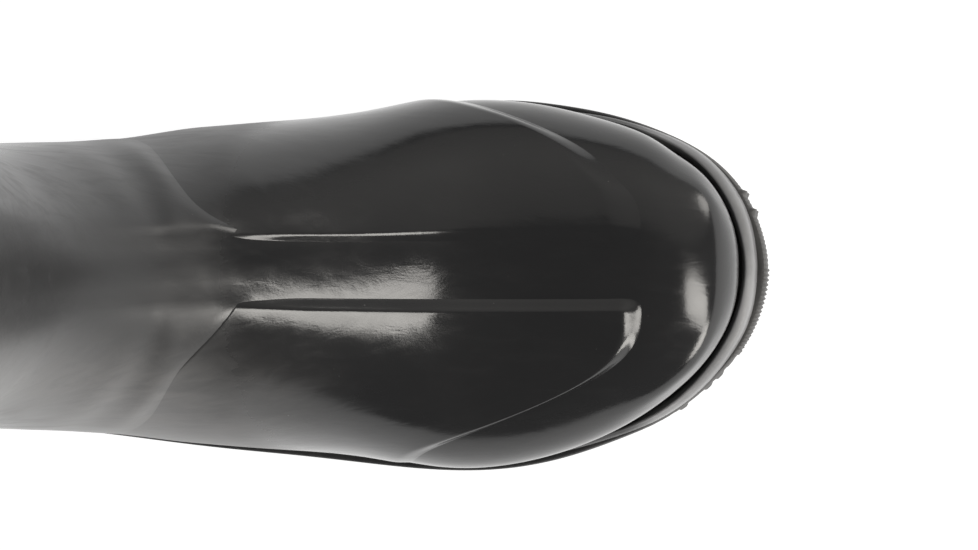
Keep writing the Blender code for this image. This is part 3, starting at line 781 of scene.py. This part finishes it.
class BOOT_OT_lining(bpy.types.Operator):
    """Knitted lining: the upper's own surface, moved inwards past its wall"""

    bl_idname = "boot.lining"
    bl_label = "Lining"

    def execute(self, context):
        sizes = context.scene.boot_sizes
        foot = foot_stations()[LINING_FIRST_ROW:]
        shaft = np.linspace(HEEL_SECTION, COLLAR_SECTION - 0.05, SHAFT_ROWS)
        stations = np.concatenate([foot, shaft[1:]])
        shares = np.linspace(0, 1, LINING_COLUMNS)
        sections, normals = upper_grid(stations, shares, sizes.channel)
        inner = sections - (sizes.wall + LINING_GAP) * normals
        faces = grid_faces(*inner.shape[:2])
        material = knit_lining(context.scene.boot_finish)
        lining = new_piece("knit_lining", inner.reshape(-1, 3), faces, material, outwards=False)
        sheet = lining.modifiers.new("sheet", "SOLIDIFY")
        sheet.thickness = LINING_THICKNESS
        sheet.offset = -1
        dress(lining, None)
        return {"FINISHED"}


def channel_line(side, station, width):
    """Share at which each half section lies half a channel's width beside the ridge."""
    shares = np.linspace(0.5, 1, 90)
    across = upper_surface(side, station[:, None], shares)[..., 1]
    beside = np.abs(across - ridge_side(station)[:, None])
    return np.array([np.interp(-width / 2, -row, shares) for row in beside])


def run_length(points, axis):
    """Length of the way along one axis of a grid of points, counted from its start."""
    steps = np.linalg.norm(np.diff(points, axis=axis), axis=-1)
    start = np.zeros_like(np.take(steps, [0], axis))
    return np.concatenate([start, np.cumsum(steps, axis)], axis)


def edged(count):
    """Shares from 0 to 1 that crowd towards both ends, from half a cosine turn."""
    even = np.linspace(0, 1, count)
    return 0.55 * (0.5 - 0.5 * np.cos(math.pi * even)) + 0.45 * even


def panel_grid(side, width, ahead, behind, rows, columns):
    """Stations and shares of a panel: lines from the channel edge down, each run from front to rear edge.

    The front edge is moved ahead and the rear edge back, so that their slopes lie over the table's lines.
    """
    front = PANELS["front_medial" if side > 0 else "front_lateral"]
    rear = PANELS["rear_medial" if side > 0 else "rear_lateral"]
    line = np.linspace(0.5, HEEL_SECTION - 0.5, 320)
    edge = channel_line(side, line, width)
    downs = edged(rows)
    ends = []
    for down in downs:
        reached = upper_surface(side, line, (1 - down) * edge + down * PANEL_LOWEST)[:, 0]
        start = smooth(PANELS["down"], front, down) + ahead
        stop = smooth(PANELS["down"], rear, down) - behind
        ends.append(np.interp([-start, -stop], -reached, line))
    ends = np.array(ends)
    stations = ends[:, :1] + (ends[:, 1:] - ends[:, :1]) * edged(columns)[None, :]
    shares = (1 - downs[:, None]) * np.interp(stations, line, edge) + downs[:, None] * PANEL_LOWEST
    return stations, shares


def rear_line(side, channel):
    """Shares, from the foxing up to the channel, and places along of a panel's rear edge."""
    stations, shares = panel_grid(side, channel, 0.0, 0.0, 40, 2)
    station, share = stations[::-1, 1], shares[::-1, 1]
    return share, upper_surface(side, station, share)[:, 0]


class BOOT_OT_panels(bpy.types.Operator):
    """Raised vamp panels: patches of the upper's surface, lifted by a height that is eased at all four edges.

    The inner panel thins out towards the channel, the outer one towards the foxing, both towards the shaft.
    """

    bl_idname = "boot.panels"
    bl_label = "Vamp panels"

    def execute(self, context):
        sizes = context.scene.boot_sizes
        material = shared_rubber(context.scene.boot_finish)
        for side, name in ((1, "vamp_panel_medial"), (-1, "vamp_panel_lateral")):
            slope = sizes.panel_front * (MEDIAL_FRONT if side > 0 else 1.0)
            edge = sizes.panel_edge * (MEDIAL_EDGE if side > 0 else LATERAL_EDGE)
            foot = sizes.channel - (edge if side > 0 else sizes.panel_edge)
            stations, shares = panel_grid(side, foot, slope / 2, PANEL_BEHIND, *PANEL_MESH)
            base = upper_surface(side, stations, shares)
            normal = upper_normal(side, stations, shares)
            along = run_length(base, 1)
            down = run_length(base, 0)
            rear = along[:, -1:] - along
            low = down / down[-1:]
            kept = 0.08 + 0.42 * (1 - ease((low - 0.15) / 0.35))
            ends = ease(along / slope)
            ends = ends * (kept * ease((rear + 0.001) / 0.003) + (1 - kept) * ease(rear / sizes.panel_rear))
            sides = ease(down / edge) * ease((down[-1:] - down) / edge)
            thin = 1 - 0.65 * ease((low - 0.45) / 0.45)
            if side > 0:
                thin = 0.35 + 0.25 * ease(along / (0.6 * along[:, -1:]))
                thin = thin + (0.85 - thin) * ease((low - 0.10) / 0.35)
            lift = ends * sides * thin * (sizes.panel_rise + PANEL_SINK) - PANEL_SINK
            outer = base + lift[..., None] * normal
            inner = base - PANEL_ROOT * normal
            rows, columns = stations.shape
            sheet = grid_faces(rows, columns)[:, ::-side]
            index = np.arange(rows * columns).reshape(rows, columns)
            rim = np.concatenate([index[0, :-1], index[:-1, -1], index[-1, :0:-1], index[:0:-1, 0]])
            after = np.roll(rim, -1)
            walls = np.column_stack([after, rim, rim + rows * columns, after + rows * columns])
            faces = np.concatenate([sheet, sheet[:, ::-1] + rows * columns, walls])
            points = np.concatenate([outer.reshape(-1, 3), inner.reshape(-1, 3)])
            panel = new_piece("boot_" + name, points, faces, material)
            dress(panel, name)
        return {"FINISHED"}


def band_edge(column, inset):
    """Reach of one column of the edge table along the boot, less an inset: the table's spline."""
    return lambda along: smooth(EDGE["along"], EDGE[column], along) - inset


class BOOT_OT_foxing(bpy.types.Operator):
    """Foxing: a rounded profile carried round the feather line, a groove left open towards the upper"""

    bl_idname = "boot.foxing"
    bl_label = "Foxing"

    def execute(self, context):
        height = context.scene.boot_sizes.foxing_height
        # Profile from the joint up the inner face, over the top and down the outer face
        profile = (
            (0.0006, JOINT_GAP),
            (band_edge("inner", 0.0014), 0.62 * height),
            (band_edge("inner", 0.0003), 0.93 * height),
            (band_edge("inner", 0.0001), 0.98 * height),
            (band_edge("inner", -0.0002), height),
            (band_edge("inner", -0.0006), 0.99 * height),
            (band_edge("outer", 0.0008), 0.88 * height),
            (band_edge("outer", 0.0003), 0.78 * height),
            (band_edge("outer", 0.0), 0.62 * height),
            (band_edge("outer", 0.0), JOINT_GAP),
        )
        turns = np.linspace(math.pi, 0, 420)
        loops = [ring(turns, out, seat_height, up) for out, up in profile]
        count = len(loops[0])
        faces = grid_faces(len(loops) + 1, count, wrap=True) % (len(loops) * count)
        material = foxing_rubber(context.scene.boot_finish)
        band = new_piece("boot_foxing", np.concatenate(loops), faces, material)
        dress(band, "foxing")
        return {"FINISHED"}


def sheet_across(loop, half, columns):
    """Rows of points straight across a closed loop, whose first half of points is the lateral side."""
    medial = np.vstack([loop[:1], loop[:half - 1:-1], loop[half - 1]])
    share = np.linspace(0, 1, columns)[None, :, None]
    return loop[:half, None] * (1 - share) + medial[:, None] * share


def capped(loops, sheets):
    """Points and quads of stacked loops and of the sheets that close them below and above."""
    points = [np.concatenate(loops)]
    faces = [grid_faces(len(loops), len(loops[0]), wrap=True)]
    for sheet in sheets:
        faces.append(grid_faces(*sheet.shape[:2]) + sum(map(len, points)))
        points.append(sheet.reshape(-1, 3))
    return np.concatenate(points), np.concatenate(faces)


def groove_share(along, across, width):
    """How deep the tread is cut, 0 to 1: distance from the nearest chevron line, eased at its walls."""
    line = np.array(HEEL_GROOVES + FOREFOOT_GROOVES)
    bent = along + GROOVE_SWEEP * np.abs(across)
    away = np.abs(bent[..., None] - line).min(-1)
    return 1 - ease((away - width / 2 + 0.0004) / 0.0008)


def toe_ribs(along, side, sizes, walk):
    """Ribs of the toe edge: a cosine of the walk along the outline, faded in towards the toe tip.

    On the outer side, uneven lug ends follow behind the fine ribs. On the inner side, bells stand for the
    nubs.
    """
    fine = ease((along - 0.2880) / 0.0040)
    ribs = (0.5 + 0.5 * np.cos(2 * math.pi * walk / sizes.rib_pitch)) * fine
    ribs = ribs * np.where(side < 0, RIB_LATERAL, RIB_MEDIAL)
    coarse = ease((along - 0.2600) / 0.008) * (1 - fine) * (side < 0)
    saw = (walk / LUG_PITCH) % 1.0
    uneven = 0.6 + 0.4 * np.sin(2.4 * np.floor(walk / LUG_PITCH))
    lugs = ease(saw / 0.25) * (1 - ease((saw - 0.55) / 0.4)) * coarse * uneven * LUG_REACH
    nubs = sum(bump_at(along, place, NUB_WIDTH) * reach for place, reach in NUB_ROWS) * (side > 0)
    return ribs + nubs, lugs


class BOOT_OT_outsole(bpy.types.Operator):
    """Outsole: rings from tread to lip, chevron grooves cut from below, ribs and lug ends round the toe"""

    bl_idname = "boot.outsole"
    bl_label = "Outsole"

    def execute(self, context):
        sizes = context.scene.boot_sizes
        turns = np.concatenate([np.linspace(math.pi, 2.5, 320), np.linspace(2.5, 0, 380)[1:]])
        plan = ring(turns, 0.0, seat_height, 0.0)[:, :2]
        side = np.where(np.arange(len(plan)) < len(turns), -1, 1)
        walk = run_length(np.vstack([plan, plan[:1]]), 0)[:-1]
        ribs, lugs = toe_ribs(plan[:, 0], side, sizes, walk)
        lip = smooth(EDGE["along"], EDGE["lip"], plan[:, 0])
        lip = lip + np.where(side < 0, 0.0010 * bump_at(plan[:, 0], 0.120, 0.040), 0.0)
        out = lip - 0.0012
        deep = -sizes.lip_depth
        # Reach, base height, lift over it, and how much of the ribs and of the lug ends each ring takes
        levels = (
            (out - 0.0016, floor_height, 0.0000, 0.0, 0.0),
            (out - 0.0006, floor_height, 0.0004, 0.5, 0.5),
            (out, floor_height, 0.0014, 1.0, 1.0),
            (out, floor_height, 0.0030, 1.0, 1.0),
            (out, seat_height, deep - 0.0015, 1.0, 0.8),
            (out + 0.0002, seat_height, deep - 0.0009, 0.6, 0.4),
            (lip - 0.0002, seat_height, deep, 0.3, 0.2),
            (lip, seat_height, deep + 0.0006, 0.9, 0.1),
            (lip, seat_height, -0.0011, 0.9, 0.0),
            (lip - 0.0003, seat_height, -0.0003, 0.4, 0.0),
            (lip - 0.0010, seat_height, 0.0, 0.0, 0.0),
        )
        loops = []
        for offset, base, lift, rib, lug in levels:
            reach = offset + rib * ribs + lug * lugs
            lateral = outline(-1, turns[::-1], reach[:len(turns)])
            loop = np.concatenate([lateral, outline(1, turns[1:-1], reach[len(turns):])])
            height = base(loop[:, 0]) + lift
            if base is floor_height:
                cut = groove_share(loop[:, 0], loop[:, 1], sizes.groove_width)
                roof = floor_height(loop[:, 0]) + sizes.groove_depth + lift * 0.2
                height = height + cut * np.maximum(roof - height, 0)
                height = np.minimum(height, seat_height(loop[:, 0]) - LEAST_SOLE)
            loops.append(np.column_stack([loop, height]))
        tread = sheet_across(loops[0], len(turns), TREAD_COLUMNS)
        cut = groove_share(tread[..., 0], tread[..., 1], sizes.groove_width)
        roof = floor_height(tread[..., 0]) + cut * sizes.groove_depth
        tread[:, 1:-1, 2] = roof[:, 1:-1]
        points, faces = capped(loops, (tread, sheet_across(loops[-1], len(turns), 3)))
        sole = new_piece("boot_outsole", points, faces, sole_rubber(context.scene.boot_finish))
        sole.data.set_sharp_from_angle(angle=math.radians(50))
        dress(sole, "outsole")
        return {"FINISHED"}


class BOOT_OT_insole(bpy.types.Operator):
    """Insole: a sheet across the seat with a rounded edge, its heel slightly cupped"""

    bl_idname = "boot.insole"
    bl_label = "Insole"

    def execute(self, context):
        sizes = context.scene.boot_sizes
        turns = np.linspace(math.pi, 0, 160)
        inset = sizes.wall + 0.0007
        thick = sizes.insole
        lifts = ((0.0, 0.0003), (0.0, 0.5 * thick), (0.0004, 0.9 * thick), (0.0012, thick))
        loops = [ring(turns, -inset - inner, seat_height, JOINT_GAP + up) for inner, up in lifts]
        top = sheet_across(loops[-1], len(turns), INSOLE_COLUMNS)
        across = 2 * np.linspace(0, 1, INSOLE_COLUMNS) - 1
        top[..., 2] -= (1 - across**2) * 0.0006 * (1 - ease((top[..., 0] - 0.06) / 0.05))
        points, faces = capped(loops, (sheet_across(loops[0], len(turns), 3), top))
        bed = new_piece("boot_insole", points, faces, insole_felt(context.scene.boot_finish))
        dress(bed, "insole")
        return {"FINISHED"}


LAMPS = (
    # name, azimuth, elevation and roll as seen from the boot in degrees, distance, width, height, power
    ("softbox_high", -17.0, 29.3, 57.0, 1.9, 1.33, 0.62, 5.7),
    ("softbox_outer_toe", -35.0, 5.5, 0.0, 0.54, 0.25, 0.15, 0.27),
    ("softbox_inner_toe", 37.0, 7.0, 0.0, 0.54, 0.18, 0.20, 0.14),
    ("softbox_inner_side", 62.0, 32.0, 0.0, 1.9, 3.40, 2.40, 2.9),
)
LAMP_AIM = Vector((0.10, 0.0, 0.06))
LAMP_COLOUR = (1.0, 0.97, 0.92)
LAMP_SPREAD = math.radians(100)
WORLD_COLOUR = (0.55, 0.55, 0.56, 1)
WORLD_STRENGTH = 0.32
FLOOR_REACH = 4.0
CAMERA_AIM = Vector((0.08, 0.0, 0.06))
CAMERA_RIGHT = -0.00418
CAMERA_UP = 0.00279
CAMERA_ASIDE = math.radians(0.5)
CAMERA_DISTANCE = 2.5
CAMERA_LENS = 306.7


class BOOT_OT_stage(bpy.types.Operator):
    """Pale floor with a painted glow round the boot, soft lamps and the camera over the toe"""

    bl_idname = "boot.stage"
    bl_label = "Stage"

    def execute(self, context):
        stage = context.scene.boot_stage
        reach = np.linspace(-FLOOR_REACH, FLOOR_REACH, 9)
        grid = np.stack(np.meshgrid(reach, reach, [0.0], indexing="ij"), -1).reshape(-1, 3)
        mesh = bpy.data.meshes.new("floor")
        mesh.from_pydata(grid, [], grid_faces(9, 9).tolist())
        material, shader, place = new_material("floor_paint")
        cloud = noise(place, 3.0, 2.0, 0.4) * 0.02
        shade = cloud.blend(opaque(stage.floor), opaque([c * 0.96 for c in stage.floor]))
        # painted light: the floor glows white round the boot and dimmer further out, a pool of glow that is
        # no lamp
        away = place.node("ShaderNodeVectorMath", {"operation": "LENGTH"}, {0: place}, "Value")
        pool = away.between(0.35, 1.60).blend((1, 1, 1, 1), (0.35, 0.35, 0.35, 1))
        feed(shader, place, Base_Color=shade, Roughness=0.7)
        feed(shader, place, Emission_Color=pool, Emission_Strength=stage.glow)
        mesh.materials.append(material)
        floor = bpy.data.objects.new("floor", mesh)
        context.scene.collection.objects.link(floor)
        for name, azimuth, elevation, roll, distance, width, height, power in LAMPS:
            turn, rise = math.radians(azimuth), math.radians(elevation)
            level = math.cos(rise)
            towards = Vector((math.cos(turn) * level, math.sin(turn) * level, math.sin(rise)))
            data = bpy.data.lights.new(name, "AREA")
            data.color = LAMP_COLOUR
            data.spread = LAMP_SPREAD
            data.shape = "ELLIPSE"
            data.size = width
            data.size_y = height
            data.energy = power * stage.light
            lamp = bpy.data.objects.new(name, data)
            lamp.location = LAMP_AIM + distance * towards
            rolled = Quaternion((0, 0, 1), math.radians(roll))
            lamp.rotation_euler = (towards.to_track_quat("Z", "Y") @ rolled).to_euler()
            lamp.visible_camera = False
            context.scene.collection.objects.link(lamp)
        world = bpy.data.worlds.new("studio")
        world.use_nodes = True
        sky = world.node_tree.nodes["Background"]
        sky.inputs["Color"].default_value = WORLD_COLOUR
        sky.inputs["Strength"].default_value = WORLD_STRENGTH
        context.scene.world = world
        context.scene.view_settings.view_transform = "Standard"
        back = Vector((math.sin(stage.tilt), -math.sin(CAMERA_ASIDE), math.cos(stage.tilt))).normalized()
        right = Vector((back.z, 0, -back.x)).normalized()
        up = back.cross(right)
        data = bpy.data.cameras.new("camera")
        data.sensor_width = 36.0
        data.lens = CAMERA_LENS
        camera = bpy.data.objects.new("camera", data)
        target = CAMERA_AIM + CAMERA_RIGHT * right + CAMERA_UP * up
        turned = Matrix((right, up, back)).transposed().to_4x4()
        camera.matrix_world = Matrix.Translation(target + CAMERA_DISTANCE * back) @ turned
        context.scene.collection.objects.link(camera)
        context.scene.camera = camera
        return {"FINISHED"}


class BOOT_PT_sidebar(bpy.types.Panel):
    bl_idname = "BOOT_PT_sidebar"
    bl_label = "Rubber boot"
    bl_space_type = "VIEW_3D"
    bl_region_type = "UI"
    bl_category = "Boot"

    def draw(self, context):
        layout = self.layout
        for group in (context.scene.boot_sizes, context.scene.boot_finish, context.scene.boot_stage):
            column = layout.column()
            for name in group.bl_rna.properties.keys():
                if name not in ("rna_type", "name"):
                    column.prop(group, name)
        for operator in OPERATORS:
            layout.operator(operator.bl_idname)


GROUPS = {"boot_sizes": BootSizes, "boot_finish": BootFinish, "boot_stage": BootStage}
OPERATORS = (
    BOOT_OT_upper, BOOT_OT_lining, BOOT_OT_panels, BOOT_OT_foxing, BOOT_OT_outsole, BOOT_OT_insole,
    BOOT_OT_stage,
)


def register():
    for kind in (*GROUPS.values(), *OPERATORS, BOOT_PT_sidebar):
        bpy.utils.register_class(kind)
    for name, kind in GROUPS.items():
        setattr(bpy.types.Scene, name, bpy.props.PointerProperty(type=kind))


def unregister():
    for name in GROUPS:
        delattr(bpy.types.Scene, name)
    for kind in (BOOT_PT_sidebar, *reversed(OPERATORS), *GROUPS.values()):
        bpy.utils.unregister_class(kind)


def main():
    register()
    bpy.ops.boot.upper()
    bpy.ops.boot.lining()
    bpy.ops.boot.panels()
    bpy.ops.boot.foxing()
    bpy.ops.boot.outsole()
    bpy.ops.boot.insole()
    bpy.ops.boot.stage()


if __name__ == "__main__":
    main()
